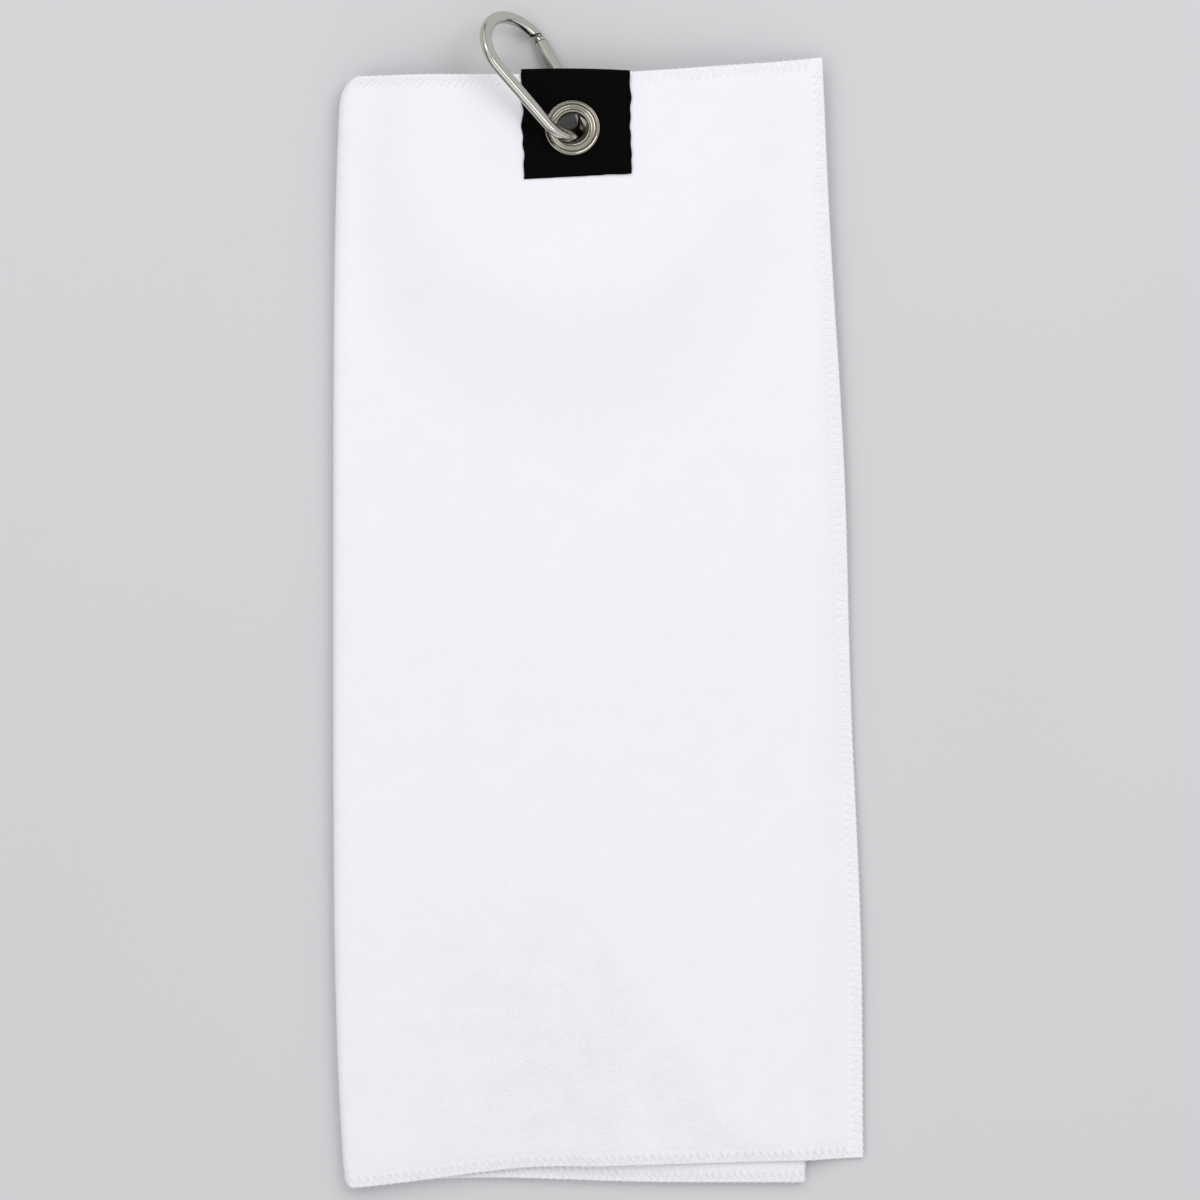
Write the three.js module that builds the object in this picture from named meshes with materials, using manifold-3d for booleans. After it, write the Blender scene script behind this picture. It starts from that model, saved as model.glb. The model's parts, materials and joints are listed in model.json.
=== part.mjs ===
// Golf towel: a white microfibre towel folded in three, with a black patch and a metal eyelet at the
// top, and a spring-gate clip through the eyelet. Millimetres, +Z up, lying flat; +Y runs toward the clip.
import * as THREE from 'three'
import { mergeVertices } from 'three/addons/utils/BufferGeometryUtils.js'
import Module from 'manifold-3d'

// Driving dimensions: the folded towel
const HALF_LENGTH = 240 // half of the folded towel's length, the scale of its edge curves
const LEFT_FOLD = -110 // the fold on the left, at half length
const TOP_EDGE = 215.1
const CORNER_ROUND = 6
const FREE_LAYER = 1.7 // thickness of one layer of cloth where it lies free
const PRESSED_LAYER = 0.75 // and where the patch and the eyelet press it
const FREE_GAP = 0.25 // air between two layers
const PRESSED_GAP = 0.1
const OVERLOCK = 5.5 // width of the overlocked edge
const SEAM_GAP = 0.3 // gap between pieces that touch
// The folds and free edges, as curves along the towel or across it
const LEFT_BOW = 5 // the left fold bows out this much between its ends
const RIGHT_FOLD = { middle: 86.5, lean: 1.5 }
const FLAP_EDGE = { middle: 99.4, slope: -0.041, bow: 2.8 }
const INNER_INSET = 6 // the inner third's free edge stops this far short of the left fold
const TOP_RISE = { from: -31, over: 121, height: 8.2, underShare: 0.4 }
const FLAP_BOTTOM = { middle: -233.2, drop: 9.2, from: -115, to: -15, slope: 0.027 }
const UNDER_BOTTOM = { middle: -240.2, rise: 2, at: -45, spread: 45 }
const FLAP_FALL = 18 // past the right fold the flap falls to the floor over this width
// The patch and the eyelet
const EYELET = new THREE.Vector2(-11.3, 193)
const EYELET_HEIGHT = 14.1 // middle of the pressed layers above the floor
const BORE = 6.3 // radius of the eyelet's hole
const BARREL = 6.85
const FLANGE = 11.25
const FLANGE_SEAT = 0.1
const CLOTH_HOLE = 7.2
const PATCH = { left: -31.1, right: 13.1, bottom: 172.8, top: 217.4, thickness: 0.45, seat: 0.12 }
const STITCHING = { inset: 2, topInset: 4, width: 0.6, height: 0.25, seat: 0.05 }
const FLAT_RADIUS = 38 // the lifted ground round the eyelet is flat this far out
const FLOOR_RADIUS = 100 // and it reaches the floor here
const LIFT_SQUASH = 0.8 // the lifted ground is longer along the towel than across it
// The clip
const CLIP_LEAN = THREE.MathUtils.degToRad(34.6)
const CLIP_TILT = THREE.MathUtils.degToRad(48)
const BAR = { width: 4.8, depth: 3.3, round: 1 }
const NARROW_BOW = { y: 8.3, radius: 10.9 } // middle line of the bar
const WIDE_BOW = { y: 38.5, radius: 16.3 }
const LOOP_X = -0.8 // the loop hangs a little to one side in the eyelet
const GATE_LENGTH = 28.2 // hinge pin to the end of the gate's bar
const HINGE_OFFSET = 4 // from the end of the narrow bow to the hinge pin, along the gate
const HINGE_PIN = { radius: 0.85, half: 1.7, hole: 1.1 }
const LATCH_PIN = { x: -0.5, y: GATE_LENGTH + 2.6, radius: 0.6, half: 1.55, hole: 0.75, notch: 0.9 }
const TONGUE = { thickness: 1.4, half: 1.5, root: 3.4 } // the frame's tongue, inside the gate's cheeks
const SLOT = 2 // width of the slots that take the tongues
const SPRING = { radius: 0.8, wire: 0.16, turns: 8, start: 5.4, length: 8.6, bore: 1.1, boreEnd: 14.5 }
const PLUNGER = { start: 1.85, end: 5 }
const THROUGH = 5 // more than half the bar, for cuts that go right through

const { clamp, lerp, smoothstep, smootherstep } = THREE.MathUtils

const materials = {
  towel: new THREE.MeshStandardMaterial({ color: 0xeff0f4, roughness: 0.95, metalness: 0 }),
  thread: new THREE.MeshStandardMaterial({ color: 0xf4f5f8, roughness: 0.8, metalness: 0 }),
  patch: new THREE.MeshStandardMaterial({ color: 0x10100e, roughness: 0.85, metalness: 0 }),
  blackThread: new THREE.MeshStandardMaterial({ color: 0x1a1a1a, roughness: 0.7, metalness: 0 }),
  nickel: new THREE.MeshStandardMaterial({ color: 0xcfccc2, roughness: 0.2, metalness: 1 }),
  clip: new THREE.MeshStandardMaterial({ color: 0xc4c4c0, roughness: 0.28, metalness: 1 }),
  spring: new THREE.MeshStandardMaterial({ color: 0x9a9a98, roughness: 0.35, metalness: 1 }),
}

// ---- joining and cutting

const wasm = await Module()
wasm.setup()

function toSolid(geometry) {
  const bare = geometry.clone()
  bare.deleteAttribute('normal')
  bare.deleteAttribute('uv')
  const merged = mergeVertices(bare, 1e-4)
  return new wasm.Manifold(new wasm.Mesh({
    numProp: 3,
    vertProperties: new Float32Array(merged.attributes.position.array),
    triVerts: new Uint32Array(merged.index.array),
  }))
}

function toGeometry(solid) {
  const mesh = solid.getMesh()
  const geometry = new THREE.BufferGeometry()
  geometry.setAttribute('position', new THREE.BufferAttribute(new Float32Array(mesh.vertProperties), 3))
  geometry.setIndex(new THREE.BufferAttribute(new Uint32Array(mesh.triVerts), 1))
  geometry.computeVertexNormals()
  return geometry
}

function cut(geometry, ...tools) {
  return toGeometry(tools.reduce((solid, tool) => solid.subtract(toSolid(tool)), toSolid(geometry)))
}

function join(geometry, ...others) {
  return toGeometry(others.reduce((solid, other) => solid.add(toSolid(other)), toSolid(geometry)))
}

function box(x0, x1, y0, y1, z0, z1) {
  const geometry = new THREE.BoxGeometry(x1 - x0, y1 - y0, z1 - z0)
  return geometry.translate((x0 + x1) / 2, (y0 + y1) / 2, (z0 + z1) / 2)
}

// An upright cylinder, its axis along Z
function rod(radius, x, y, z0, z1, sides = 24) {
  const geometry = new THREE.CylinderGeometry(radius, radius, z1 - z0, sides)
  return geometry.rotateX(Math.PI / 2).translate(x, y, (z0 + z1) / 2)
}

// ---- the towel: one sheet folded in three

// How much the patch and eyelet press the layers, 1 round the eyelet and 0 further out
function pressed(x, y) {
  return 1 - smoothstep(Math.hypot(x - EYELET.x, y - EYELET.y), FLAT_RADIUS, 2 * FLAT_RADIUS)
}

function layerThickness(x, y) {
  return lerp(FREE_LAYER, PRESSED_LAYER, pressed(x, y))
}

// From one layer's middle to the next one's
function layerPitch(x, y) {
  return layerThickness(x, y) + lerp(FREE_GAP, PRESSED_GAP, pressed(x, y))
}

// The clip under the towel props it up round the eyelet
function lift(x, y) {
  const underside = EYELET_HEIGHT - PRESSED_LAYER * 1.5 - PRESSED_GAP
  const away = Math.hypot(x - EYELET.x, LIFT_SQUASH * (y - EYELET.y))
  return underside * (1 - smootherstep(away, FLAT_RADIUS, FLOOR_RADIUS))
}

// The left fold bows out at half length, and its top corner is rounded
function leftFold(y) {
  const corner = Math.max(0, CORNER_ROUND - (TOP_EDGE - y))
  const rounding = CORNER_ROUND - Math.sqrt(CORNER_ROUND ** 2 - Math.min(corner, CORNER_ROUND) ** 2)
  return LEFT_FOLD + LEFT_BOW * (y / HALF_LENGTH) ** 4 + rounding
}

function rightFold(y) {
  return RIGHT_FOLD.middle + RIGHT_FOLD.lean * y / HALF_LENGTH
}

// The front flap fans out to the right toward the bottom
function flapEdge(y) {
  return FLAP_EDGE.middle + FLAP_EDGE.slope * y + FLAP_EDGE.bow * (1 - (y / HALF_LENGTH) ** 2)
}

// The free edge of the inner third, just short of the left fold
function innerEdge(y) {
  return leftFold(y) + INNER_INSET
}

function topEdge(x, front) {
  const rise = TOP_RISE.height * clamp((x - TOP_RISE.from) / TOP_RISE.over, 0, 1) ** 2
  return TOP_EDGE + lerp(TOP_RISE.underShare, 1, front) * rise
}

function bottomEdge(x, front) {
  const drop = FLAP_BOTTOM.drop * (1 - smoothstep(x, FLAP_BOTTOM.from, FLAP_BOTTOM.to))
  const flap = FLAP_BOTTOM.middle - drop + FLAP_BOTTOM.slope * Math.max(x, 0)
  const away = (x - UNDER_BOTTOM.at) / UNDER_BOTTOM.spread
  return lerp(UNDER_BOTTOM.middle + UNDER_BOTTOM.rise * Math.exp(-(away ** 2)), flap, front)
}

const ACROSS = [-88, -80, -71, -60, -48, -30, -11, 8, 26, 38, 50, 62, 75] // shared by the three layers
const ALONG = [204, 190, 175, 160, 146, 132, 116, 98, 75, 30, -40, -110, -170, -222]

// The folded section at one station y: the sheet's middle line from the inner free edge, under the flap,
// round the right fold, back underneath, round the left fold and over to the flap's free edge.
// Each entry gives the place, the unit normal, and how far it is from the under layers (0) to the flap (1).
function foldedSection(y) {
  const path = []
  const left = leftFold(y)
  const right = rightFold(y)
  const flat = (x, layer, front) => path.push({ x, layer, nx: 0, nz: 1, front })
  const pitchLeft = layerPitch(left, y)
  const thickLeft = layerThickness(left, y)
  const pitchRight = layerPitch(right, y)
  const thickRight = layerThickness(right, y)
  const leftCentre = left + pitchLeft + thickLeft / 2
  const rightCentre = right - pitchRight / 2 - thickRight / 2
  flat(innerEdge(y) + OVERLOCK + SEAM_GAP, 1, 0)
  for (const x of ACROSS) flat(x, 1, 0)
  flat(rightCentre, 1, 0)
  for (const turn of [1, 2, 3, 4]) {
    const angle = Math.PI / 2 - turn * Math.PI / 5
    path.push({
      x: rightCentre + pitchRight / 2 * Math.cos(angle),
      layer: 0.5 + 0.5 * Math.sin(angle), nx: Math.cos(angle), nz: Math.sin(angle), front: 0,
    })
  }
  path.push({ x: rightCentre, layer: 0, nx: 0, nz: -1, front: 0 })
  const inner = [innerEdge(y), innerEdge(y) + OVERLOCK]
  for (const x of [...inner, ...ACROSS].reverse()) path.push({ x, layer: 0, nx: 0, nz: -1, front: 0 })
  path.push({ x: leftCentre, layer: 0, nx: 0, nz: -1, front: 0 })
  for (const turn of [1, 2, 3, 4, 5]) {
    const angle = -Math.PI / 2 - turn * Math.PI / 6
    path.push({
      x: leftCentre + pitchLeft * Math.cos(angle),
      layer: 1 + Math.sin(angle), nx: Math.cos(angle), nz: Math.sin(angle), front: turn / 6,
    })
  }
  flat(leftCentre, 2, 1)
  for (const x of [...inner, ...ACROSS]) flat(x, 2, 1)
  const edge = flapEdge(y) - OVERLOCK - SEAM_GAP
  for (const share of [0.3, 0.6, 0.8, 1]) flat(lerp(ACROSS.at(-1), edge, share), 2, 1)
  return path
}

// Height of a point of the sheet: the layers ride on the lift, and the flap falls past the right fold
function sheetHeight(x, y, point) {
  const base = lift(x, y) + layerThickness(x, y) / 2
  const height = base + point.layer * layerPitch(x, y)
  if (point.front < 1) return height
  const right = rightFold(y)
  return lerp(height, base, smoothstep(x, right - 1, right + FLAP_FALL))
}

// The overlocked side edges: a narrow strip at the flap's free edge, and one at the inner free edge
function flapStrip(y) {
  const shares = [1, 0.5, 0]
  return shares.map((share) => ({ x: flapEdge(y) - share * OVERLOCK, layer: 2, nx: 0, nz: 1, front: 1 }))
}

function innerStrip(y) {
  const shares = [0, 0.5, 1]
  return shares.map((share) => ({ x: innerEdge(y) + share * OVERLOCK, layer: 1, nx: 0, nz: 1, front: 0 }))
}

const fromTop = (inset) => ({
  nominal: TOP_EDGE - inset, at: (point) => topEdge(point.x, point.front) - inset,
})
const fromBottom = (inset) => ({
  nominal: -HALF_LENGTH + inset, at: (point) => bottomEdge(point.x, point.front) + inset,
})
const between = ALONG.map((y) => ({ nominal: y, at: () => y }))

// A closed solid of the sheet: section gives the points across it at a station, rows the stations from
// the top down.
function sheetSolid(section, rows) {
  const grid = rows.map((row) => section(row.nominal).map((point) => {
    const y = row.at(point)
    const half = layerThickness(point.x, y) / 2
    const z = sheetHeight(point.x, y, point)
    return [1, -1].map((side) => [point.x + side * point.nx * half, y, z + side * point.nz * half])
  }))
  const across = grid[0].length
  const positions = []
  const faces = []
  const at = (row, column, side) => (row * across + column) * 2 + side
  for (const row of grid) {
    for (const pair of row) positions.push(...pair[0], ...pair[1])
  }
  const quad = (a, b, c, d) => faces.push(a, b, c, a, c, d)
  const last = grid.length - 1
  const end = across - 1
  for (let row = 0; row < last; row += 1) {
    const next = row + 1
    for (let column = 0; column < end; column += 1) {
      const beside = column + 1
      quad(at(row, column, 0), at(next, column, 0), at(next, beside, 0), at(row, beside, 0))
      quad(at(row, column, 1), at(row, beside, 1), at(next, beside, 1), at(next, column, 1))
    }
    quad(at(row, 0, 0), at(row, 0, 1), at(next, 0, 1), at(next, 0, 0))
    quad(at(row, end, 0), at(next, end, 0), at(next, end, 1), at(row, end, 1))
  }
  for (let column = 0; column < end; column += 1) {
    const beside = column + 1
    quad(at(0, column, 0), at(0, beside, 0), at(0, beside, 1), at(0, column, 1))
    quad(at(last, column, 0), at(last, column, 1), at(last, beside, 1), at(last, beside, 0))
  }
  const geometry = new THREE.BufferGeometry()
  geometry.setAttribute('position', new THREE.Float32BufferAttribute(positions, 3))
  geometry.setIndex(faces)
  geometry.computeVertexNormals()
  return geometry
}

// ---- the patch, its stitching and the eyelet: flat pieces, with z counted from the middle of the layers

const clothStack = 3 * PRESSED_LAYER + 2 * PRESSED_GAP
const patchInside = clothStack / 2 + PATCH.seat
const patchOutside = patchInside + PATCH.thickness
const middleX = (PATCH.left + PATCH.right) / 2 - EYELET.x
const patchWidth = PATCH.right - PATCH.left
const patchBottom = PATCH.bottom - EYELET.y
const patchTop = PATCH.top - EYELET.y

// One strip of webbing folded over the towel's top edge: a U-shaped section drawn out to the patch's width
function makePatch() {
  const inner = patchTop - patchOutside
  const section = new THREE.Shape()
  section.moveTo(patchBottom, -patchOutside)
  section.lineTo(inner, -patchOutside)
  section.absarc(inner, 0, patchOutside, -Math.PI / 2, Math.PI / 2, false)
  section.lineTo(patchBottom, patchOutside)
  section.lineTo(patchBottom, patchInside)
  section.lineTo(inner, patchInside)
  section.absarc(inner, 0, patchInside, Math.PI / 2, -Math.PI / 2, true)
  section.lineTo(patchBottom, -patchInside)
  section.closePath()
  const strip = new THREE.ExtrudeGeometry(section, {
    depth: patchWidth, bevelEnabled: false, curveSegments: 8,
  })
  strip.rotateX(Math.PI / 2).rotateZ(Math.PI / 2)
  strip.translate(middleX - patchWidth / 2, 0, 0)
  return cut(strip, rod(CLOTH_HOLE, 0, 0, -5, 5, 36))
}

// The line of stitches round the patch, on its front or its back
function makePatchStitching(side) {
  const { inset, topInset, width, height, seat } = STITCHING
  const z = side * (patchOutside + seat + height / 2)
  const left = middleX - patchWidth / 2 + inset
  const right = middleX + patchWidth / 2 - inset
  const low = patchBottom + inset
  const high = patchTop - topInset
  const outer = box(left, right, low, high, z - height / 2, z + height / 2)
  return cut(outer, box(left + width, right - width, low + width, high - width, z - height, z + height))
}

// A turned piece from its outline in radius and height, going round the solid side of it
function lathe(profile, sides = 32) {
  const points = profile.map(([radius, z]) => new THREE.Vector2(radius, z)).reverse()
  points.push(points[0].clone())
  return new THREE.LatheGeometry(points, sides).rotateX(Math.PI / 2)
}

// The rolled flange on the front, the barrel through the layers, and the lip curled over the back washer
function makeEyelet() {
  const seat = patchOutside + FLANGE_SEAT
  return lathe([
    [BORE, -seat - 1], [BORE, seat + 0.5], [BORE + 0.35, seat + 0.95], [BORE + 1.3, seat + 1.2],
    [BORE + 3, seat + 1.15], [FLANGE - 0.5, seat + 0.75], [FLANGE, seat + 0.25], [FLANGE - 0.1, seat],
    [BARREL, seat], [BARREL, -seat - 0.95], [BARREL + 1, -seat - 1], [BARREL + 1.2, -seat - 1.2],
    [BARREL + 0.8, -seat - 1.4], [BORE + 0.35, -seat - 1.35],
  ])
}

function makeEyeletWasher() {
  const seat = patchOutside + FLANGE_SEAT
  return lathe([
    [BARREL + 0.3, -seat - 0.7], [BARREL + 0.3, -seat], [FLANGE - 0.3, -seat], [FLANGE - 0.1, -seat - 0.3],
    [FLANGE - 0.6, -seat - 0.6],
  ])
}

// ---- the clip, in its own plane: +Y from the eyelet to the wide bow, spine at -X, gate at +X

const taper = Math.asin((WIDE_BOW.radius - NARROW_BOW.radius) / (WIDE_BOW.y - NARROW_BOW.y))
const hinge = new THREE.Vector2(
  LOOP_X + NARROW_BOW.radius * Math.cos(taper) + HINGE_OFFSET * Math.sin(taper),
  NARROW_BOW.y - NARROW_BOW.radius * Math.sin(taper) + HINGE_OFFSET * Math.cos(taper),
)

// From the gate's own frame, +Y along the closed gate from its hinge pin, to the clip's plane
function onGateLine(geometry) {
  return geometry.rotateZ(-taper).translate(hinge.x, hinge.y, 0)
}

// The outline at a distance from the bar's middle line: two bows joined by straight sides
function ovalOutline(path, offset) {
  const narrow = NARROW_BOW.radius + offset
  const wide = WIDE_BOW.radius + offset
  path.absarc(LOOP_X, WIDE_BOW.y, wide, -taper, Math.PI + taper, false)
  path.absarc(LOOP_X, NARROW_BOW.y, narrow, Math.PI + taper, 2 * Math.PI - taper, false)
  path.closePath()
  return path
}

// A flat bar with rounded edges, drawn up from its outline to the bar's depth
function roundedBar(shape) {
  const bar = new THREE.ExtrudeGeometry(shape, {
    depth: BAR.depth - 2 * BAR.round,
    curveSegments: 14,
    bevelEnabled: true,
    bevelSize: BAR.round,
    bevelThickness: BAR.round,
    bevelOffset: -BAR.round,
    bevelSegments: 2,
  })
  return bar.translate(0, 0, BAR.round - BAR.depth / 2)
}

function makeClipFrame() {
  const half = BAR.width / 2
  const shape = ovalOutline(new THREE.Shape(), half)
  shape.holes.push(ovalOutline(new THREE.Path(), -half))
  const nose = GATE_LENGTH + 0.4
  const window = onGateLine(box(-THROUGH, THROUGH, -half - 0.4, nose, -THROUGH, THROUGH))
  const tongue = onGateLine(join(
    box(-TONGUE.half, TONGUE.half, -TONGUE.root, 0, -TONGUE.thickness / 2, TONGUE.thickness / 2),
    rod(TONGUE.half, 0, 0, -TONGUE.thickness / 2, TONGUE.thickness / 2),
  ))
  const pinHole = onGateLine(rod(HINGE_PIN.hole, 0, 0, -THROUGH, THROUGH, 16))
  const latchSlot = onGateLine(box(-THROUGH, 1, nose - 1, LATCH_PIN.y + 1.6, -SLOT / 2, SLOT / 2))
  const { x, y, notch } = LATCH_PIN
  const latchNotch = onGateLine(join(
    box(-THROUGH, x, y - notch, y + notch, -THROUGH, THROUGH),
    rod(notch, x, y, -THROUGH, THROUGH, 16),
  ))
  return cut(join(cut(roundedBar(shape), window), tongue), pinHole, latchSlot, latchNotch)
}

// The gate in its own frame
function makeGate() {
  const half = BAR.width / 2
  const shape = new THREE.Shape()
  shape.absarc(0, 0, half, Math.PI, 2 * Math.PI, false)
  shape.lineTo(half, GATE_LENGTH)
  shape.lineTo(-half, GATE_LENGTH)
  shape.closePath()
  const latchTongue = box(
    -1.4, 0.7, GATE_LENGTH - 1, LATCH_PIN.y + 1.2, -TONGUE.thickness / 2, TONGUE.thickness / 2,
  )
  const hingeSlot = box(-THROUGH, THROUGH, -THROUGH, TONGUE.root, -SLOT / 2, SLOT / 2)
  const springBore = rod(SPRING.bore, 0, 0, TONGUE.root - 0.4, SPRING.boreEnd, 16).rotateX(-Math.PI / 2)
  const pinHole = rod(HINGE_PIN.hole, 0, 0, -THROUGH, THROUGH, 16)
  const latchHole = rod(LATCH_PIN.hole, LATCH_PIN.x, LATCH_PIN.y, -THROUGH, THROUGH, 16)
  return cut(join(roundedBar(shape), latchTongue), hingeSlot, springBore, pinHole, latchHole)
}

function makeHingePin() {
  return onGateLine(rod(HINGE_PIN.radius, 0, 0, -HINGE_PIN.half, HINGE_PIN.half, 16))
}

function makeLatchPin() {
  return rod(LATCH_PIN.radius, LATCH_PIN.x, LATCH_PIN.y, -LATCH_PIN.half, LATCH_PIN.half, 16)
}

class Helix extends THREE.Curve {
  getPoint(t, target = new THREE.Vector3()) {
    const angle = 2 * Math.PI * SPRING.turns * t
    const along = SPRING.start + SPRING.length * t
    return target.set(SPRING.radius * Math.cos(angle), along, SPRING.radius * Math.sin(angle))
  }
}

function makeGateSpring() {
  const wire = new THREE.Shape().absarc(0, 0, SPRING.wire, 0, 2 * Math.PI, false)
  return new THREE.ExtrudeGeometry(wire, {
    extrudePath: new Helix(), steps: SPRING.turns * 8, curveSegments: 3,
  })
}

// Pushed by the spring, the plunger bears on the frame's tongue and keeps the gate shut
function makePlunger() {
  return rod(SPRING.radius, 0, 0, PLUNGER.start, PLUNGER.end, 16).rotateX(-Math.PI / 2)
}

// ---- the assembly

function piece(name, geometry, material) {
  const mesh = new THREE.Mesh(geometry, material)
  mesh.name = name
  return mesh
}

const towel = new THREE.Group()
const clothRows = [fromTop(OVERLOCK + SEAM_GAP), ...between, fromBottom(OVERLOCK + SEAM_GAP)]
const overlockRows = [0, OVERLOCK / 2, OVERLOCK]
const topRows = overlockRows.map(fromTop)
const bottomRows = overlockRows.toReversed().map(fromBottom)
const sideRows = [...topRows, ...between, ...bottomRows]
const clothHole = rod(CLOTH_HOLE, EYELET.x, EYELET.y, EYELET_HEIGHT - 6, EYELET_HEIGHT + 6, 36)
towel.add(
  piece('towel_cloth', cut(sheetSolid(foldedSection, clothRows), clothHole), materials.towel),
  piece('top_edge_overlock', sheetSolid(foldedSection, topRows), materials.thread),
  piece('bottom_edge_overlock', sheetSolid(foldedSection, bottomRows), materials.thread),
  piece('flap_edge_overlock', sheetSolid(flapStrip, sideRows), materials.thread),
  piece('inner_edge_overlock', sheetSolid(innerStrip, sideRows), materials.thread),
)

const fittings = new THREE.Group()
fittings.position.set(EYELET.x, EYELET.y, EYELET_HEIGHT)
fittings.add(
  piece('patch', makePatch(), materials.patch),
  piece('patch_stitching_front', makePatchStitching(1), materials.blackThread),
  piece('patch_stitching_back', makePatchStitching(-1), materials.blackThread),
  piece('eyelet', makeEyelet(), materials.nickel),
  piece('eyelet_washer', makeEyeletWasher(), materials.nickel),
)

const clip = new THREE.Group()
clip.position.copy(fittings.position)
clip.rotation.set(0, CLIP_TILT, CLIP_LEAN, 'ZYX')
clip.add(
  piece('clip_frame', makeClipFrame(), materials.clip),
  piece('gate_hinge_pin', makeHingePin(), materials.clip),
)
const gate = new THREE.Group()
gate.position.set(hinge.x, hinge.y, 0)
gate.rotation.z = -taper
gate.add(
  piece('gate', makeGate(), materials.clip),
  piece('gate_latch_pin', makeLatchPin(), materials.clip),
  piece('gate_spring', makeGateSpring(), materials.spring),
  piece('gate_plunger', makePlunger(), materials.spring),
)
clip.add(gate)

// The origin is the middle of the box's base
const golfTowel = new THREE.Group()
golfTowel.add(towel, fittings, clip)
golfTowel.updateMatrixWorld(true)
const middle = new THREE.Box3().setFromObject(golfTowel, true).getCenter(new THREE.Vector3())
golfTowel.position.set(-middle.x, -middle.y, 0)

export default golfTowel
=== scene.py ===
# %% [markdown]
# # A golf towel with a clip
#
# This lesson dresses a finished working model of a golf towel. The towel is one sheet of white
# microfibre folded in three. A black patch grips its top edge, a nickel eyelet goes through the
# patch, and a spring clip hangs in the eyelet, so that the towel can hang on a golf bag.
#
# The working model comes first, as a fixed frame. Nothing in it is moved here. New pieces are built
# over it, and each rides on the part of the frame that it belongs to, so it follows when the clip
# swings or the gate opens.

# %% Load the frame
import json
import math

import bmesh
import bpy
from mathutils import Matrix, Vector, noise


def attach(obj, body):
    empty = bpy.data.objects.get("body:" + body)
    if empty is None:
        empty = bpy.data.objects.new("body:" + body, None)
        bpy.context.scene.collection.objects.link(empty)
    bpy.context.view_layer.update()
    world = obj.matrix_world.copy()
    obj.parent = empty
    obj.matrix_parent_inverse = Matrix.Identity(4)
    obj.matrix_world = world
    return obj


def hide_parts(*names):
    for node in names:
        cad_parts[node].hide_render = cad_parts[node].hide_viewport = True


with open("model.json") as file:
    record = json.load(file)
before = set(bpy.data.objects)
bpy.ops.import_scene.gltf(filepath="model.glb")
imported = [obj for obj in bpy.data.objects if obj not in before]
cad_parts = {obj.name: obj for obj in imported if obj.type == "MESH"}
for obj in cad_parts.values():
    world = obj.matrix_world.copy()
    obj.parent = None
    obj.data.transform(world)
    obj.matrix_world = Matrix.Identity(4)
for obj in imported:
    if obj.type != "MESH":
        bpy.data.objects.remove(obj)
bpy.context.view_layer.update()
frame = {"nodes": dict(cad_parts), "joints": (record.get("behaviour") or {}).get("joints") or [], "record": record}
print("frame nodes:", ", ".join(sorted(frame["nodes"])))

# %% [markdown]
# ## The drawing's own millimetres
#
# Small sewn and pressed goods are easier to think about in millimetres, while Blender and the frame
# count in metres. So the shapes below are drawn in millimetres, and `placed` turns a drawn point
# into a place in the frame. The eyelet ties the two together: the clip swings about its middle, so
# the frame's joint says where the drawing's eyelet has to land.

# %% From the drawing to the frame
MM = 0.001
EYELET = Vector((-11.3, 193.0, 14.1))  # the eyelet's middle in the drawing
joints = {joint["name"]: joint for joint in frame["joints"]}
eyelet_place = Vector(joints["clip_swing"]["pos_m"])
drawing_origin = eyelet_place - EYELET * MM


def placed(point):
    return Vector(point) * MM + drawing_origin


print("drawing origin in the frame:", [round(value, 5) for value in drawing_origin])

# %% [markdown]
# ## A few helpers
#
# Every piece goes through the same last steps: its bmesh becomes a mesh, its faces are shaded smooth
# except at real corners, it takes its material, it rides on a body, and the plain nodes of the frame
# that it stands for are hidden. Two functions do that for all of them.

# %% Turn a bmesh into a finished piece
CORNER_ANGLE = math.radians(38)


def shade(bm):
    for face in bm.faces:
        face.smooth = True
    for edge in bm.edges:
        edge.smooth = edge.calc_face_angle(0) < CORNER_ANGLE


def add_piece(name, mesh, material, body, slot, *nodes):
    mesh.materials.clear()
    mesh.materials.append(material)
    piece = bpy.data.objects.new(name, mesh)
    bpy.context.scene.collection.objects.link(piece)
    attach(piece, body)
    if nodes:
        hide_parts(*nodes)
    print(f"{name}: {len(mesh.polygons)} faces, rides on {body}")
    return piece


def mesh_from(name, bm, matrix=None):
    if matrix is not None:
        bmesh.ops.transform(bm, matrix=matrix, verts=bm.verts)
    bmesh.ops.recalc_face_normals(bm, faces=bm.faces)
    shade(bm)
    mesh = bpy.data.meshes.new(name)
    bm.to_mesh(mesh)
    bm.free()
    return mesh


# %% [markdown]
# Materials are small graphs of nodes. `node` adds one node, sets its options and fills its sockets:
# a number goes straight in, and another node's output becomes a link.

# %% Material helpers
def node(tree, kind, inputs=None, **options):
    made = tree.nodes.new("ShaderNode" + kind)
    for key, value in options.items():
        setattr(made, key, value)
    for key, value in (inputs or {}).items():
        if isinstance(value, bpy.types.NodeSocket):
            tree.links.new(value, made.inputs[key])
        else:
            made.inputs[key].default_value = value
    return made


def new_material(name, values):
    material = bpy.data.materials.new(name)
    material.use_nodes = True
    shader = material.node_tree.nodes["Principled BSDF"]
    for key, value in values.items():
        shader.inputs[key].default_value = value
    return material, material.node_tree, shader


def stretched(tree, vector, scale):
    return node(tree, "Mapping", {"Vector": vector, "Scale": scale}).outputs["Vector"]


def between(tree, share, low, high):
    """Maps a 0 to 1 share to the numbers from low to high."""
    return node(tree, "MapRange", {"Value": share, "To Min": low, "To Max": high}).outputs["Result"]


def bump(tree, height, strength, distance, normal=None):
    inputs = {"Height": height, "Strength": strength, "Distance": distance}
    if normal is not None:
        inputs["Normal"] = normal
    return node(tree, "Bump", inputs).outputs["Normal"]


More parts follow.
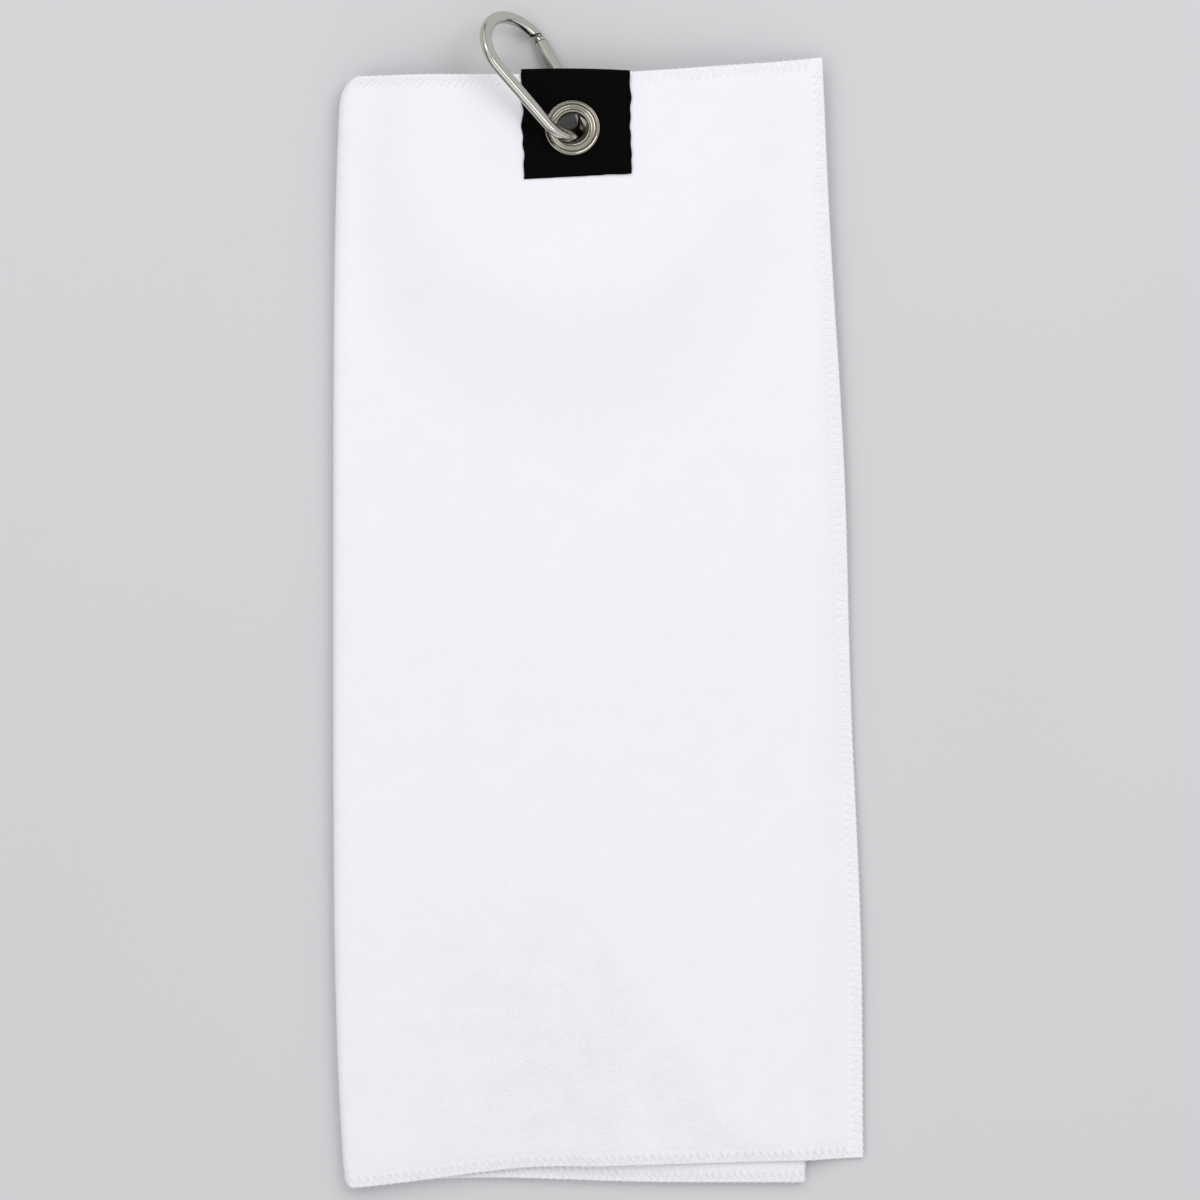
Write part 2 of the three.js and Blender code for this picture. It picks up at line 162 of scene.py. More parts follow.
# %% [markdown]
# ## The towel's outline and thickness
#
# Folded in three like a letter, the sheet lies in three layers: the middle third at the bottom, the
# inner third on it, and the front flap on top. The fold on the left bows out a little, the top edge
# rises to the right, and the flap fans out toward the bottom right, because nobody folds a towel
# quite square. Each of those habits is one short formula.
#
# The patch and the eyelet press the layers flat, and the clip lies partly underneath, so the cloth
# is lifted round the eyelet and comes down to the floor further out.

# %% Outline, thickness and lift, in millimetres
HALF_LENGTH = 240
LEFT_FOLD = -110
LEFT_BOW = 5  # the left fold's ends stand this far inward
RIGHT_FOLD = 86.5
TOP_EDGE = 215.1
TOP_RISE = 8.2
BOTTOM_EDGE = -240.2
FREE_LAYER, PRESSED_LAYER = 1.7, 0.75
FREE_GAP, PRESSED_GAP = 0.25, 0.1
FLAT_RADIUS, FLOOR_RADIUS = 38, 112
FOLD_PUFF = 1.5  # the fold stands this much higher than the flat layers
INNER_EDGE_STEP = 6  # from the left fold to the inner third's free edge
FLAP_FALL = 18  # past the right fold the flap falls to the floor over this width
CORNER_WIDTH, CORNER_HEIGHT = 5, 11  # rounding of the folded corners


def lerp(a, b, share):
    return a + (b - a) * share


def ease(value, low, high):
    share = min(max((value - low) / (high - low), 0), 1)
    return share * share * (3 - 2 * share)


def ease_twice(value, low, high):
    share = min(max((value - low) / (high - low), 0), 1)
    return share**3 * (share * (share * 6 - 15) + 10)


def from_eyelet(x, y):
    return math.hypot(x - EYELET.x, y - EYELET.y)


def pressed(x, y):
    return 1 - ease(from_eyelet(x, y), FLAT_RADIUS, 2 * FLAT_RADIUS)


def layer_thickness(x, y):
    return lerp(FREE_LAYER, PRESSED_LAYER, pressed(x, y))


def layer_pitch(x, y):
    return layer_thickness(x, y) + lerp(FREE_GAP, PRESSED_GAP, pressed(x, y))


def lift(x, y):
    underside = EYELET.z - PRESSED_LAYER * 1.5 - PRESSED_GAP
    away = math.hypot(x - EYELET.x, 0.8 * (y - EYELET.y))
    soft, softer = ease(away, FLAT_RADIUS, FLOOR_RADIUS), ease_twice(away, FLAT_RADIUS, FLOOR_RADIUS)
    return underside * (1 - lerp(soft, softer, 0.3))


def corner_rounding(distance_to_end):
    share = min(max(1 - distance_to_end / CORNER_HEIGHT, 0), 1)
    return CORNER_WIDTH * (1 - math.sqrt(1 - share**2))


def left_fold(y):
    ends = corner_rounding(TOP_EDGE - y) + corner_rounding(y - BOTTOM_EDGE + 2)
    return LEFT_FOLD + LEFT_BOW * (y / HALF_LENGTH) ** 4 + ends


def right_fold(y):
    return RIGHT_FOLD + 1.5 * y / HALF_LENGTH


def flap_edge(y):
    return 99.4 - 0.041 * y + 2.8 * (1 - (y / HALF_LENGTH) ** 2) + 0.5 * math.sin(y / 31)


def inner_edge(y):
    return left_fold(y) + INNER_EDGE_STEP


def top_edge(x, front):
    rise = TOP_RISE * min(max((x + 31) / 121, 0), 1) ** 2
    return TOP_EDGE + lerp(0.4, 1, front) * rise


def bottom_edge(x, front):
    flap = -233.2 - 9.2 * (1 - ease(x, -115, -15)) + 0.027 * max(x, 0)
    under = BOTTOM_EDGE + 2 * math.exp(-(((x + 45) / 45) ** 2))
    return lerp(under, flap, front)


print(f"folded towel: {flap_edge(0) - left_fold(0):.0f} mm wide at half length")

# %% [markdown]
# ## Where each thread of the flat sheet lands
#
# The flat cut is about 600 mm by 457 mm, or 24 by 18 inches. The real towel is made by folding that
# sheet twice, so the model does the same: `cloth` takes a place on the flat cut, `across` from the
# inner free edge and `along` from the bottom hem, and gives its place and its upright direction once
# it is folded. Every piece of sewing on the towel asks the same function where it goes.

# %% Fold the sheet
STRETCHES = {  # flat length of each stretch of the sheet, in millimetres
    "inner third": 188.7,
    "right fold": 3.1,
    "middle third": 191.1,
    "left fold": 7.7,
    "front flap": 208.6,
}
CUT_ACROSS = sum(STRETCHES.values())
CUT_ALONG = 457.2


def stretch_at(across):
    names = list(STRETCHES)
    for name in names[:-1]:
        if across < STRETCHES[name]:
            return name, across / STRETCHES[name]
        across -= STRETCHES[name]
    return names[-1], across / STRETCHES[names[-1]]


def fold_point(across, y):
    """The sheet's middle line at a station y: x, how far above the bottom layer, the way its upper
    face looks, and how far it is from the under layers (0) to the flap (1)."""
    left, right = left_fold(y), right_fold(y)
    puff = FOLD_PUFF * (1 - pressed(left, y))
    left_radius = layer_pitch(left, y) + puff / 2
    right_radius = layer_pitch(right, y) / 2
    left_centre = left + left_radius + layer_thickness(left, y) / 2
    right_centre = right - right_radius - layer_thickness(right, y) / 2
    stretch, share = stretch_at(across)
    if stretch == "inner third":
        x = lerp(inner_edge(y), right_centre, share)
        return x, layer_pitch(x, y), (0, 1), 0
    if stretch == "middle third":
        return lerp(right_centre, left_centre, share), 0, (0, -1), 0
    if stretch == "front flap":
        x = lerp(left_centre, flap_edge(y), share)
        bulge = puff * math.exp(-(((x - left_centre) / 9) ** 2))
        return x, 2 * layer_pitch(x, y) + bulge, (0, 1), 1
    if stretch == "right fold":
        angle = math.pi * (0.5 - share)
        face = (math.cos(angle), math.sin(angle))
        return right_centre + right_radius * face[0], right_radius * (1 + face[1]), face, 0
    angle = -math.pi * (0.5 + share)
    face = (math.cos(angle), math.sin(angle))
    return left_centre + left_radius * face[0], left_radius * (1 + face[1]), face, share


print(f"flat cut: {CUT_ACROSS:.1f} by {CUT_ALONG:.1f} mm")

# %% [markdown]
# ## Waves and creases
#
# Cloth never lies dead flat. The flap keeps slow waves, a soft crease that runs from the middle down
# to the right hem, and a shorter one under the patch. Noise gives the waves, and each crease is the
# distance to a bent line, turned into a low step that fades out further on. All of it fades out at the
# left fold and under the patch, where the cloth is held.

# %% Relief of the front flap
CREASES = [  # points along the line, depth of the drop, its width, the middle of the crease, its reach
    ([(-40, -98), (-22, -104), (-2, -133), (20, -167), (38, -189), (50, -214), (82, -232)],
     0.9, 9, Vector((36, -188)), 66),
    ([(10, 102), (-23, 114), (-54, 128), (-88, 154)], 0.4, 14, Vector((-36, 122)), 46),
]
# below and left of this line the pile is ruffled: a stronger bump, and a greyer colour that is painted shade on
# the crease's shadow side
RUFFLE_AND_SHADE_LINE = [(-130, -96), *CREASES[0][0], (110, -245)]
PATCH_LEFT, PATCH_RIGHT = -31.1, 13.1
PATCH_BOTTOM, PATCH_TOP = 172.8, 217.4


def distance_to_line(x, y, line):
    """Signed distance to a line through some points: positive on its right."""
    best = None
    place = Vector((x, y))
    for start, end in zip(line, line[1:]):
        start, end = Vector(start), Vector(end)
        way = end - start
        share = min(max((place - start).dot(way) / way.length_squared, 0), 1)
        apart = place - start - way * share
        side = 1 if way.cross(apart) < 0 else -1
        if best is None or apart.length < abs(best):
            best = side * apart.length
    return best


def crease_height(x, y, line, depth, width, middle, reach):
    """The cloth drops at the line and climbs back slowly on its right; both ends fade out."""
    away = distance_to_line(x, y, line) / width
    fade = math.exp(-(((Vector((x, y)) - middle).length / reach) ** 4))
    return -depth * fade * ease(away, -0.4, 1) * (1 - ease(away, 1.3, 5))


def waves(x, y):
    slow = noise.noise(Vector((x / 90, y / 120, 1.7)))
    quick = noise.noise(Vector((x / 34, y / 46, 5.2)))
    return 0.8 + 1.1 * slow + 0.35 * quick


def patch_puff(x, y):
    """The pile swells up where the sewn patch stops pressing on it."""
    out_x = max(PATCH_LEFT - x, x - PATCH_RIGHT, 0)
    out_y = max(PATCH_BOTTOM - y, 0)
    out = math.hypot(out_x, out_y)
    return 0.55 * ease(out, 0, 3) * (1 - ease(out, 6, 22))


def relief(x, y):
    height = waves(x, y) + sum(crease_height(x, y, *crease) for crease in CREASES)
    held = (1 - pressed(x, y)) * ease(x - left_fold(y), 4, 34)
    return max(height, 0) * held + patch_puff(x, y)


def cloth(across, along):
    """Place, upward direction and free thickness of the sheet, in the drawing's millimetres."""
    share = along / CUT_ALONG
    y = lerp(BOTTOM_EDGE + 3, TOP_EDGE + 1, share)
    x, rise, face, front = fold_point(across, y)
    y = lerp(bottom_edge(x, front), top_edge(x, front), share)
    base = lift(x, y) + layer_thickness(x, y) / 2
    z = base + rise
    if front == 1:
        right = right_fold(y)
        z = lerp(z, base, ease(x, right - 1, right + FLAP_FALL)) + relief(x, y)
    elif rise > 0 and front == 0:
        z += 0.15 * relief(x, y) * (face[1] > 0.99)
    return Vector((x, y, z)), Vector((face[0], 0, face[1])), layer_thickness(x, y)


def ruffle_and_shade(x, y, front):
    """How ruffled the pile is, and how much painted shade greys its colour: 0 on most of the flap, 1 below the
    long crease.
    """
    below_crease = ease(distance_to_line(x, y, RUFFLE_AND_SHADE_LINE), -5, 9) * ease(-y, 88, 190)
    left = lerp(0.45, 1, ease(x, -95, -30))
    patchy = 0.85 + 0.5 * noise.noise(Vector((x / 14, y / 26, 8)))
    return lerp(0.5, min(below_crease * left * patchy, 1), front)


print("flap height at its middle:", round(cloth(CUT_ACROSS - 100, CUT_ALONG / 2)[0].z, 2), "mm")

# %% [markdown]
# ## The sheet itself
#
# A flat grid is the right start, because the real sheet starts flat. Its rows and columns stand
# closer together near the edges, where the overlock squeezes the cloth, and round the two folds.
# Each vertex then moves to its folded place. The grid keeps a UV map of the flat cut in metres, so
# that the weave runs with the cloth and round the folds, and a weight that says how thick the cloth
# is, which the Solidify modifier reads to give the sheet its two faces.

# %% Grid stations
OVERLOCK = 5.5  # width of the overlocked edge
EDGE_STEPS = [0, 0.6, 1.4, 2.6, 3.8, 4.8, 5.4, 6.0, 6.8, 8.2, 10.2]
COLUMN_STEP, ROW_STEP = 2.2, 2.7  # spacing of the open cloth's stations
MIDDLE_COLUMNS = 76  # steps across the middle third, which lies underneath
RIGHT_FOLD_STEPS, LEFT_FOLD_STEPS = 8, 12


def stations(length, step):
    """Places from 0 to length, close together near both ends."""
    first = EDGE_STEPS[-1]
    count = round((length - 2 * first) / step)
    middle = [lerp(first, length - first, n / count) for n in range(1, count)]
    return EDGE_STEPS + middle + [length - inset for inset in reversed(EDGE_STEPS)]


def column_stations():
    starts = {}
    place = 0
    for name, length in STRETCHES.items():
        starts[name] = place
        place += length
    open_cloth = stations(CUT_ACROSS, COLUMN_STEP)
    edge_count = len(EDGE_STEPS)
    columns = [s for s in open_cloth if s < starts["right fold"] - 1]
    columns = columns[:edge_count] + columns[edge_count + 1::2]
    for name, count, first, last in (
            ("right fold", RIGHT_FOLD_STEPS, 0, RIGHT_FOLD_STEPS),
            ("middle third", MIDDLE_COLUMNS, 1, MIDDLE_COLUMNS - 1),
            ("left fold", LEFT_FOLD_STEPS, 0, LEFT_FOLD_STEPS)):
        columns += [starts[name] + STRETCHES[name] * n / count for n in range(first, last + 1)]
    return columns + [s for s in open_cloth if s > starts["front flap"] + 1]


columns = column_stations()
rows = stations(CUT_ALONG, ROW_STEP)
print(f"grid of {len(columns)} by {len(rows)} stations")

# %% Build the sheet
CLOTH_HOLE = 7.4


def edge_thickness(across, along):
    """1 in the open cloth, less where the overlock squeezes the edge."""
    inset = min(across, CUT_ACROSS - across, along, CUT_ALONG - along)
    return lerp(0.62, 1, ease(inset, OVERLOCK - 0.6, OVERLOCK + 1.6))


def open_hole(bm, radius, centre):
    """Takes out what lies inside the hole, and draws its rim on to a circle."""
    inside = [v for v in bm.verts if (v.co.xy - centre).length < radius]
    bmesh.ops.delete(bm, geom=inside, context="VERTS")
    for vertex in bm.verts:
        out = vertex.co.xy - centre
        if vertex.is_boundary and out.length < radius * 1.5:
            vertex.co.xy = centre + out.normalized() * radius


def build_sheet():
    bm = bmesh.new()
    bmesh.ops.create_grid(bm, x_segments=len(columns) - 1, y_segments=len(rows) - 1, size=0.5)
    flat = {}
    for vertex in bm.verts:
        column = columns[round((vertex.co.x + 0.5) * (len(columns) - 1))]
        row = rows[round((vertex.co.y + 0.5) * (len(rows) - 1))]
        flat[vertex.index] = (column, row)
    uv = bm.loops.layers.uv.new("flat_cut")
    weights = bm.verts.layers.deform.verify()
    nap_and_shade = bm.verts.layers.float.new("nap_and_shade")
    for face in bm.faces:
        for loop in face.loops:
            loop[uv].uv = Vector(flat[loop.vert.index]) * MM
    for vertex in bm.verts:
        across, along = flat[vertex.index]
        place, up, thickness = cloth(across, along)
        vertex.co = place
        vertex[nap_and_shade] = ruffle_and_shade(place.x, place.y, stretch_at(across)[0] == "front flap")
        vertex[weights][0] = thickness / FREE_LAYER * edge_thickness(across, along)
    open_hole(bm, CLOTH_HOLE, EYELET.xy)
    for face in bm.faces:
        face.smooth = True
    for vertex in bm.verts:
        vertex.co = placed(vertex.co)
    mesh = bpy.data.meshes.new("towel_sheet")
    bm.to_mesh(mesh)
    bm.free()
    return mesh


sheet_mesh = build_sheet()
print("sheet:", len(sheet_mesh.polygons), "faces before it gets its thickness")

# %% [markdown]
# ## Microfibre
#
# The towel is a warp-knit microfibre: thousands of very fine loops in short rows. Seen from a metre
# away that gives faint dashes across the cloth, a soft mottled white and a velvety edge to the light.
# The finish layers three sizes of pattern on the flat-cut map: dashes, loops and slow mottling. They
# drive the bump, and a very little of the colour. Where the pile was ruffled, an attribute of the sheet
# makes them stronger and mixes in a darker, greyer colour, which is painted shade on the long crease's
# shadow side and, at half strength, on the under layers. A sheen on the shader gives the velvet.

# %% Microfibre material
def fabric_material():
    material, tree, shader = new_material("white microfibre", {
        "Roughness": 0.92,
        "Specular IOR Level": 0.25,
        "Sheen Weight": 0.25,
        "Sheen Roughness": 0.6,
        "Sheen Tint": (0.95, 0.96, 1, 1),
    })
    flat = node(tree, "UVMap", uv_map="flat_cut").outputs["UV"]
    nap_and_shade = node(tree, "Attribute", attribute_name="nap_and_shade").outputs["Fac"]
    wander = node(tree, "TexNoise", {"Vector": flat, "Scale": 140.0, "Detail": 2.0}).outputs["Color"]
    warped = node(tree, "VectorMath", {0: wander, 1: (0.0012,) * 3, 2: flat},
                  operation="MULTIPLY_ADD").outputs["Vector"]
    dashes = node(tree, "TexNoise", {
        "Vector": stretched(tree, warped, (430, 1150, 1)), "Scale": 1.0, "Detail": 2.0,
        "Roughness": 0.6}).outputs["Fac"]
    loops = node(tree, "TexVoronoi", {
        "Vector": stretched(tree, warped, (1150, 1500, 1)), "Scale": 1.0,
        "Randomness": 0.9}).outputs["Distance"]
    mottle = node(tree, "TexNoise", {
        "Vector": flat, "Scale": 70.0, "Detail": 4.0, "Roughness": 0.6}).outputs["Fac"]
    normal = bump(tree, mottle, between(tree, nap_and_shade, 0.03, 0.26), 0.0009)
    normal = bump(tree, dashes, between(tree, nap_and_shade, 0.16, 0.5), 0.0004, normal)
    normal = bump(tree, loops, between(tree, nap_and_shade, 0.12, 0.4), 0.0003, normal)
    tree.links.new(normal, shader.inputs["Normal"])
    shade_share = node(tree, "Math", {0: dashes, 1: mottle}, operation="ADD").outputs["Value"]
    share = node(tree, "MapRange", {"Value": shade_share, "From Min": 0.7, "From Max": 1.3}).outputs["Result"]
    brushed = node(tree, "Mix", {
        "Factor": share, "A": (0.852, 0.86, 0.896, 1), "B": (0.876, 0.884, 0.916, 1)}, data_type="RGBA")
    # the ruffled colour is darker and greyer: painted shade on the crease's shadow side and the under layers
    ruffled_shaded = node(tree, "Mix", {
        "Factor": share, "A": (0.80, 0.812, 0.84, 1), "B": (0.872, 0.88, 0.906, 1)}, data_type="RGBA")
    colour = node(tree, "Mix", {
        "Factor": nap_and_shade, "A": brushed.outputs[2], "B": ruffled_shaded.outputs[2]}, data_type="RGBA")
    tree.links.new(colour.outputs[2], shader.inputs["Base Color"])
    return material


microfibre = fabric_material()
towel_sheet = add_piece("towel_sheet", sheet_mesh, microfibre, "towel", "towel_fabric", "towel_cloth")
towel_sheet.vertex_groups.new(name="thickness")
thicken = towel_sheet.modifiers.new("thickness", "SOLIDIFY")
thicken.thickness = FREE_LAYER * MM
thicken.offset = 0
thicken.vertex_group = "thickness"
print("sheet is", thicken.thickness, "m thick where it lies free")

# %% [markdown]
# ## Overlocked edges
#
# A machine wraps the four cut edges in thread so that they don't fray. Each stitch runs over the
# face from the needle line, round the edge and back underneath, and a finer thread slants across to
# the next stitch. There are hundreds, so each is a poly curve of a few points with a four-sided
# bevel. A curve is the natural tool: the path is drawn once in the edge's own terms (how far in from
# the edge, how high above the cloth, how far along), and `cloth` says where that is.

# %% Thread along a path
def thread_mesh(name, paths, radius, resolution=1):
    """paths holds lists of (place, share of the radius)."""
    curve = bpy.data.curves.new(name, "CURVE")
    curve.dimensions = "3D"
    curve.bevel_depth = radius * MM
    curve.bevel_resolution = resolution
    curve.use_fill_caps = True
    for path in paths:
        spline = curve.splines.new("POLY")
        spline.points.add(len(path) - 1)
        for point, (place, share) in zip(spline.points, path):
            point.co = (*placed(place), 1)
            point.radius = share
    holder = bpy.data.objects.new(name, curve)
    bpy.context.scene.collection.objects.link(holder)
    mesh = bpy.data.meshes.new_from_object(holder.evaluated_get(bpy.context.evaluated_depsgraph_get()))
    bpy.data.objects.remove(holder)
    bpy.data.curves.remove(curve)
    mesh.name = name
    return mesh


# %% One overlock stitch
STITCH_STEP = 3.15
WRAP = [  # inset from the edge, height above the middle of the cloth, place along the edge
    (5.4, 0.3, 0), (4.6, 0.56, 0), (2.7, 0.6, 0.1), (1.0, 0.54, 0.2), (-0.15, 0.25, 0.25),
    (-0.15, -0.2, 0.3), (1.0, -0.44, 0.35), (2.7, -0.48, 0.4), (4.6, -0.46, 0.45), (5.4, -0.3, 0.5),
]
SLANT = [(5.1, 0.58, 0.1), (3.4, 0.74, 1.0), (1.6, 0.7, 2.1), (0.2, 0.48, 3.0)]
UNDER_PRESS = 0.74  # on the lower face the weight of the cloth presses the thread flatter
THREAD = 0.36
FINE_THREAD = 0.6  # the slanting thread's share of the wrapping thread's radius


def strand(edge, start, pattern, side, share, wobble):
    """side is 1 on the upper face and -1 underneath, or less where the strand is pulled into the pile."""
    path = []
    for inset, height, step in pattern:
        across, along = edge(start + step + wobble, inset)
        place, up, thickness = cloth(across, along)
        squeeze = thickness / FREE_LAYER
        rise = side * height * squeeze
        if rise * up.z < 0:
            rise *= UNDER_PRESS
        path.append((place + up * rise, share * (0.35 + 0.65 * squeeze)))
    return path


def overlock(edge, length, stand):
    paths = []
    for count in range(int((length - 4) / STITCH_STEP)):
        start = 2 + count * STITCH_STEP
        wobble = 0.35 * noise.noise(Vector((start / 5, length, 3)))
        paths.append(strand(edge, start, WRAP, stand, 1, wobble))
        paths.append(strand(edge, start, SLANT, stand, FINE_THREAD, wobble))
        paths.append(strand(edge, start, SLANT, -stand, FINE_THREAD, wobble))
    return paths


EDGES = {  # stations from (place along it, inset), length, how far the thread stands out, its plain node
    "top_overlock": (lambda s, inset: (s, CUT_ALONG - inset), CUT_ACROSS, 0.82, "top_edge_overlock"),
    "bottom_overlock": (lambda s, inset: (s, inset), CUT_ACROSS, 1, "bottom_edge_overlock"),
    "flap_overlock": (lambda s, inset: (CUT_ACROSS - inset, s), CUT_ALONG, 0.78, "flap_edge_overlock"),
    "inner_overlock": (lambda s, inset: (inset, s), CUT_ALONG, 1, "inner_edge_overlock"),
}


# %% [markdown]
# The overlock thread is a bulky textured polyester, a little shinier and whiter than the pile. A
# noise that is fine along every direction breaks it into filaments.

# %% Thread materials
def thread_material(name, colour, roughness, shine, sheen):
    material, tree, shader = new_material(name, {
        "Roughness": roughness, "Specular IOR Level": shine, "Sheen Weight": sheen, "Sheen Roughness": 0.5})
    place = node(tree, "TexCoord").outputs["Object"]
    fluff = node(tree, "TexNoise", {"Vector": place, "Scale": 3200.0, "Detail": 2.0}).outputs["Fac"]
    dark = tuple(0.93 * value for value in colour) + (1,)
    mixed = node(tree, "Mix", {"Factor": fluff, "A": dark, "B": colour + (1,)}, data_type="RGBA")
    tree.links.new(mixed.outputs[2], shader.inputs["Base Color"])
    tree.links.new(bump(tree, fluff, 0.35, 0.0002), shader.inputs["Normal"])
    return material


white_thread = thread_material("white overlock thread", (0.90, 0.905, 0.925), 0.75, 0.4, 0.2)
overlocks = [
    add_piece(name, thread_mesh(name, overlock(edge, length, stand), THREAD), white_thread, "towel",
              "edge_thread", stands_for)
    for name, (edge, length, stand, stands_for) in EDGES.items()
]

# %% [markdown]
# ## The black patch
#
# One strip of woven webbing is folded over the towel's top edge and sewn through all layers, so it
# shows on both sides. It starts as a flat grid too: the rows run up the front, over the fold and
# down the back. Its cut sides wander a little, and its lower edge isn't quite square.

# %% Patch shape, in millimetres from the middle of the eyelet
PATCH_THICKNESS = 0.45
cloth_stack = 3 * PRESSED_LAYER + 2 * PRESSED_GAP
patch_inside = cloth_stack / 2 + 0.12
patch_outside = patch_inside + PATCH_THICKNESS
patch_middle = patch_inside + PATCH_THICKNESS / 2
patch_fold = PATCH_TOP - EYELET.y - patch_outside  # where the strip starts to turn over
patch_width = PATCH_RIGHT - PATCH_LEFT
PATCH_SHIFT = -0.6  # the strip was sewn on a little to the left
patch_centre = (PATCH_LEFT + PATCH_RIGHT) / 2 - EYELET.x + PATCH_SHIFT
patch_length = patch_fold - (PATCH_BOTTOM - EYELET.y)
fold_length = math.pi * patch_middle


def patch_bottom_edge(side_share):
    return 2.3 * side_share - 0.7 + 0.35 * noise.noise(Vector((side_share * 7, 2, 9)))


def patch_top_edge(side_share):
    return 0.5 * math.sin(math.pi * side_share) - 0.5 * side_share


def patch_side_lean(side_share, climb_share):
    left, right = lerp(0.6, -0.7, climb_share), lerp(0.4, -0.2, climb_share)
    return lerp(left, right, side_share)


def patch_point(side_share, travel):
    """side_share runs from 0 at the left to 1 at the right, travel from the front's bottom edge."""
    turn = min(max((travel - patch_length) / fold_length, 0), 1) * math.pi
    on_back = max(travel - patch_length - fold_length, 0)
    climb = min(travel, patch_length) - on_back
    left_from_bottom = 1 - ease(climb, 0, 12)
    y = patch_fold - patch_length + climb + patch_bottom_edge(side_share) * left_from_bottom
    y += patch_middle * math.sin(turn)
    y += patch_top_edge(side_share) * ease(climb, patch_length - 14, patch_length)
    edge = 2 * side_share - 1
    wander = 1.1 * noise.noise(Vector((edge * 2, climb / 6, 4))) * abs(edge) ** 3
    x = patch_centre + edge * patch_width / 2 + wander + patch_side_lean(side_share, climb / patch_length)
    z = patch_middle * math.cos(turn)
    away = ease(math.hypot(x, y), 13, 24) * (turn in (0, math.pi))
    ripple = 0.22 * (noise.noise(Vector((x / 9, y / 9, z))) + 0.6)
    return Vector((x, y, z + math.copysign(ripple * away, z)))


def build_patch():
    across, along = 38, 84
    bm = bmesh.new()
    bmesh.ops.create_grid(bm, x_segments=across, y_segments=along, size=0.5)
    uv = bm.loops.layers.uv.new("webbing")
    whole = 2 * patch_length + fold_length
    for face in bm.faces:
        for loop in face.loops:
            share = loop.vert.co + Vector((0.5, 0.5, 0))
            loop[uv].uv = (share.x * patch_width * MM, share.y * whole * MM)
    for vertex in bm.verts:
        share = vertex.co + Vector((0.5, 0.5, 0))
        vertex.co = patch_point(share.x, share.y * whole)
    open_hole(bm, 7.3, Vector((0, 0)))
    for face in bm.faces:
        face.smooth = True
    bmesh.ops.translate(bm, vec=EYELET, verts=bm.verts)
    for vertex in bm.verts:
        vertex.co = placed(vertex.co)
    mesh = bpy.data.meshes.new("webbing_patch")
    bm.to_mesh(mesh)
    bm.free()
    return mesh


# %% [markdown]
# Black polyester webbing shows a fine plain weave when light rakes over it. Two waves at right
# angles make the threads cross, and a little noise keeps them from looking printed.

# %% Webbing material
def webbing_material():
    material, tree, shader = new_material("black webbing", {
        "Roughness": 0.85, "Specular IOR Level": 0.04})
    flat = node(tree, "UVMap", uv_map="webbing").outputs["UV"]
    warp = node(tree, "TexWave", {
        "Vector": flat, "Scale": 190.0, "Distortion": 0.6, "Detail": 1.0, "Detail Scale": 2.0},
        bands_direction="X").outputs["Fac"]
    weft = node(tree, "TexWave", {
        "Vector": flat, "Scale": 300.0, "Distortion": 0.6, "Detail": 1.0, "Detail Scale": 2.0},
        bands_direction="Y").outputs["Fac"]
    weave = node(tree, "Math", {0: warp, 1: weft}, operation="MULTIPLY").outputs["Value"]
    mottle = node(tree, "TexNoise", {"Vector": flat, "Scale": 260.0, "Detail": 4.0}).outputs["Fac"]
    share = node(tree, "Math", {0: weave, 1: mottle}, operation="MULTIPLY").outputs["Value"]
    colour = node(tree, "Mix", {
        "Factor": share, "A": (0.0014, 0.0014, 0.0012, 1), "B": (0.0052, 0.0051, 0.0043, 1)}, data_type="RGBA")
    tree.links.new(colour.outputs[2], shader.inputs["Base Color"])
    normal = bump(tree, weave, 0.5, 0.0002)
    tree.links.new(bump(tree, mottle, 0.25, 0.0003, normal), shader.inputs["Normal"])
    return material


patch = add_piece("webbing_patch", build_patch(), webbing_material(), "towel", "patch_fabric", "patch")
patch_wall = patch.modifiers.new("thickness", "SOLIDIFY")
patch_wall.thickness = PATCH_THICKNESS * MM
patch_wall.offset = 0

# %% [markdown]
# ## The patch's stitches
#
# A lockstitch line runs round the patch, black on black, so it only shows as small raised dashes.
# Each stitch is a short arch of thread that dives into the webbing at both ends.

# %% Lockstitches
PATCH_STITCH = 2.6
STITCH_INSET = 2.3
BLACK_THREAD = 0.2


def stitch_line(start, end, level):
    start, end = Vector(start), Vector(end)
    count = max(round((end - start).length / PATCH_STITCH), 1)
    paths = []
    for number in range(count):
        path = []
        for share, height in ((0.06, -0.18), (0.2, 0.06), (0.5, 0.12), (0.8, 0.06), (0.94, -0.18)):
            x, y = start.lerp(end, (number + share) / count)
            path.append((EYELET + Vector((x, y, level + math.copysign(1, level) * height)), 1))
        paths.append(path)
    return paths


def patch_stitches(side):
    half = patch_width / 2 - STITCH_INSET
    low = PATCH_BOTTOM - EYELET.y + STITCH_INSET + 1.2
    high = patch_fold - 1.5
    left, right = patch_centre - half, patch_centre + half
    corners = [(left, low), (right, low + 0.8), (right, high), (left, high), (left, low)]
    level = side * (patch_outside + 0.1)
    return [path for a, b in zip(corners, corners[1:]) for path in stitch_line(a, b, level)]


black_thread = thread_material("black sewing thread", (0.003, 0.003, 0.0027), 0.7, 0.06, 0)
for name, side, stands_for in (("front_stitches", 1, "patch_stitching_front"),
                               ("back_stitches", -1, "patch_stitching_back")):
    add_piece(name, thread_mesh(name, patch_stitches(side), BLACK_THREAD), black_thread, "towel",
              "patch_thread", stands_for)

# %% [markdown]
# ## The eyelet and its washer
#
# A grommet press rolls one brass ring, plated with nickel, through a washer on the back. Both are
# round, so each is a closed outline spun about the eyelet's axis. The outline is made of small arcs:
# the rolled rim, the shallow dish and the bead round the mouth are what catch the light.

# %% Spin a closed outline
BORE, BARREL, FLANGE = 6.3, 6.85, 11.25
SPIN_STEPS = 96


def arc(centre, radius, start, end, steps=6):
    turns = [math.radians(lerp(start, end, n / steps)) for n in range(steps + 1)]
    return [(centre[0] + radius * math.cos(t), centre[1] + radius * math.sin(t)) for t in turns]


